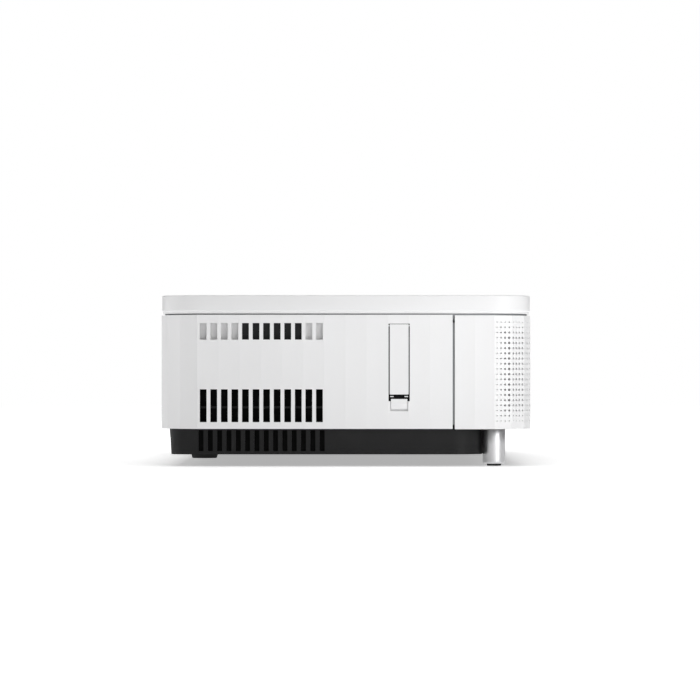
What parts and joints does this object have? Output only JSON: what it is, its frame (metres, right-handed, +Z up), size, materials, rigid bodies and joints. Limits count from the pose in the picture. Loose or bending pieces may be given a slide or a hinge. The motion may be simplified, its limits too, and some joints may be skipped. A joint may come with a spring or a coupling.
{
  "type": "home projector",
  "caption": "Ultra-short-throw home projector: fluted white casing on a black vented base, with a sprung-latch focus door, air filter, fans and adjustable feet.",
  "frame": {"origin": "middle of the footprint, on the surface that the feet stand on", "axes": "+Z up, -Y towards the loudspeaker face and the viewer, +X towards the filter side, so width lies along X"},
  "size_m": [0.695, 0.341, 0.157],
  "materials": {
    "white_shell": "fine moulded grain, shallow flutes",
    "white_top": "fine moulded grain, smooth",
    "black_base": "spark-textured black",
    "grey_frame": "fine grain",
    "grey_baffle": "fine grain",
    "dark_mesh": "acoustic cloth",
    "dark_gauze": "fine filter gauze",
    "black_gloss": "semi-gloss black",
    "clear_glass": "coated",
    "sensor_lens": "deep red-black, gloss",
    "black_rubber": "matt",
    "satin_aluminium": "satin, turned",
    "fin_aluminium": "extruded",
    "black_alloy": "black anodised",
    "brass_insert": "turned",
    "bright_steel": "plated",
    "sheet_steel": "zinc-plated sheet",
    "lever_plastic": "fine grain",
    "mirror_coat": "polished",
    "phosphor_disc": "coated disc",
    "board_green": "solder mask",
    "board_brown": "paper laminate",
    "fan_black": "moulded",
    "cone_black": "pulp cone in a rubber surround"
  },
  "bodies": {
    "housing": {"base_tray": "black_base", "chassis_frame": "sheet_steel", "upper_frame": "grey_frame", "left_side_panel": "white_shell", "right_side_panel": "white_shell", "rear_panel": "white_shell", "front_cover": "white_shell", "top_cover": "white_top", "speaker_mesh": "dark_mesh", "window_bezel": "black_gloss", "projection_window": "clear_glass", "obstacle_sensors": "sensor_lens", "rear_foot": "black_rubber", "foot_bushes": "brass_insert", "door_hinge_pin": "bright_steel", "latch_spring": "bright_steel", "focus_slot_plate": "black_base", "shaft_brackets": "sheet_steel", "lens_barrel": "black_alloy", "aspheric_mirror": "mirror_coat", "mirror_bracket": "sheet_steel", "optical_engine_case": "black_alloy", "prism_block": "clear_glass", "lcd_panels": "board_green", "laser_module": "bright_steel", "heat_sink": "fin_aluminium", "wheel_motor": "bright_steel", "main_board": "board_green", "power_board": "board_brown", "exhaust_fan_frame": "fan_black", "intake_fan_frame": "fan_black", "left_speaker_box": "fan_black", "right_speaker_box": "fan_black", "left_speaker_driver": "cone_black", "right_speaker_driver": "cone_black", "vent_baffles": "grey_baffle", "left_vent_louvre": "black_base", "vent_screens": "dark_gauze", "io_plate": "black_base", "signal_sockets": "bright_steel", "ac_inlet": "black_base", "ir_window": "sensor_lens", "status_light_pipe": "clear_glass", "power_switch": "board_green", "case_screws": "bright_steel", "board_screws": "bright_steel"},
    "focus_door_body": {"focus_door": "white_shell"},
    "latch_body": {"latch_tab": "white_shell"},
    "lever_body": {"focus_lever": "lever_plastic"},
    "focus_cell_body": {"focus_cell": "black_base", "relay_lens": "clear_glass"},
    "left_pad_body": {"left_foot_pad": "black_rubber"},
    "left_sleeve_body": {"left_foot_sleeve": "satin_aluminium"},
    "right_pad_body": {"right_foot_pad": "black_rubber"},
    "right_sleeve_body": {"right_foot_sleeve": "satin_aluminium"},
    "phosphor_wheel_body": {"phosphor_wheel": "phosphor_disc"},
    "exhaust_rotor": {"exhaust_impeller": "fan_black"},
    "intake_rotor": {"intake_impeller": "fan_black"},
    "filter_body": {"filter_tray": "white_shell"},
    "button_body": {"power_button": "white_shell"}
  },
  "joints": [
    {"name": "focus_door_hinge", "type": "hinge", "parent": "housing", "child": "focus_door_body", "pos_m": [-0.3461, -0.0487, 0.129], "axis": [0, 1, 0], "range_deg": [0, 100]},
    {"name": "latch_slide", "type": "slide", "parent": "housing", "child": "latch_body", "axis": [0, 0, -1], "range_m": [0, 0.0015], "stiffness_N_per_m": 400, "springref_m": -0.001, "deforming": ["latch_spring"]},
    {"name": "focus_lever_turn", "type": "hinge", "parent": "housing", "child": "lever_body", "pos_m": [-0.3, -0.018, 0.092], "axis": [-1, 0, 0], "range_deg": [-24, 24]},
    {"name": "focus_cell_slide", "type": "slide", "parent": "housing", "child": "focus_cell_body", "axis": [0, 1, 0], "range_m": [-0.0041, 0.0041]},
    {"name": "left_foot_extend", "type": "slide", "parent": "housing", "child": "left_pad_body", "axis": [0, 0, -1], "range_m": [0, 0.008]},
    {"name": "left_foot_turn", "type": "hinge", "parent": "left_pad_body", "child": "left_sleeve_body", "pos_m": [-0.315, -0.1368, 0.02], "axis": [0, 0, 1], "range_deg": [0, 2300]},
    {"name": "right_foot_extend", "type": "slide", "parent": "housing", "child": "right_pad_body", "axis": [0, 0, -1], "range_m": [0, 0.008]},
    {"name": "right_foot_turn", "type": "hinge", "parent": "right_pad_body", "child": "right_sleeve_body", "pos_m": [0.315, -0.1368, 0.02], "axis": [0, 0, 1], "range_deg": [0, 2300]},
    {"name": "phosphor_wheel_spin", "type": "hinge", "parent": "housing", "child": "phosphor_wheel_body", "pos_m": [-0.128, 0.128, 0.0705], "axis": [0, 1, 0], "continuous": true},
    {"name": "exhaust_fan_spin", "type": "hinge", "parent": "housing", "child": "exhaust_rotor", "pos_m": [-0.32, 0.08, 0.0875], "axis": [1, 0, 0], "continuous": true},
    {"name": "intake_fan_spin", "type": "hinge", "parent": "housing", "child": "intake_rotor", "pos_m": [0.297, 0.08, 0.0875], "axis": [1, 0, 0], "continuous": true},
    {"name": "filter_slide", "type": "slide", "parent": "housing", "child": "filter_body", "axis": [1, 0, 0], "range_m": [0, 0.045]},
    {"name": "power_button_press", "type": "slide", "parent": "housing", "child": "button_body", "axis": [-1, 0, 0], "range_m": [0, 0.0015], "stiffness_N_per_m": 600, "springref_m": -0.001}
  ],
  "couplings": [
    {"joint": "focus_lever_turn", "follows": "focus_cell_slide", "rad_per_m": 100},
    {"joint": "left_foot_extend", "follows": "left_foot_turn", "m_per_rad": 0.00019894},
    {"joint": "right_foot_extend", "follows": "right_foot_turn", "m_per_rad": 0.00019894}
  ]
}
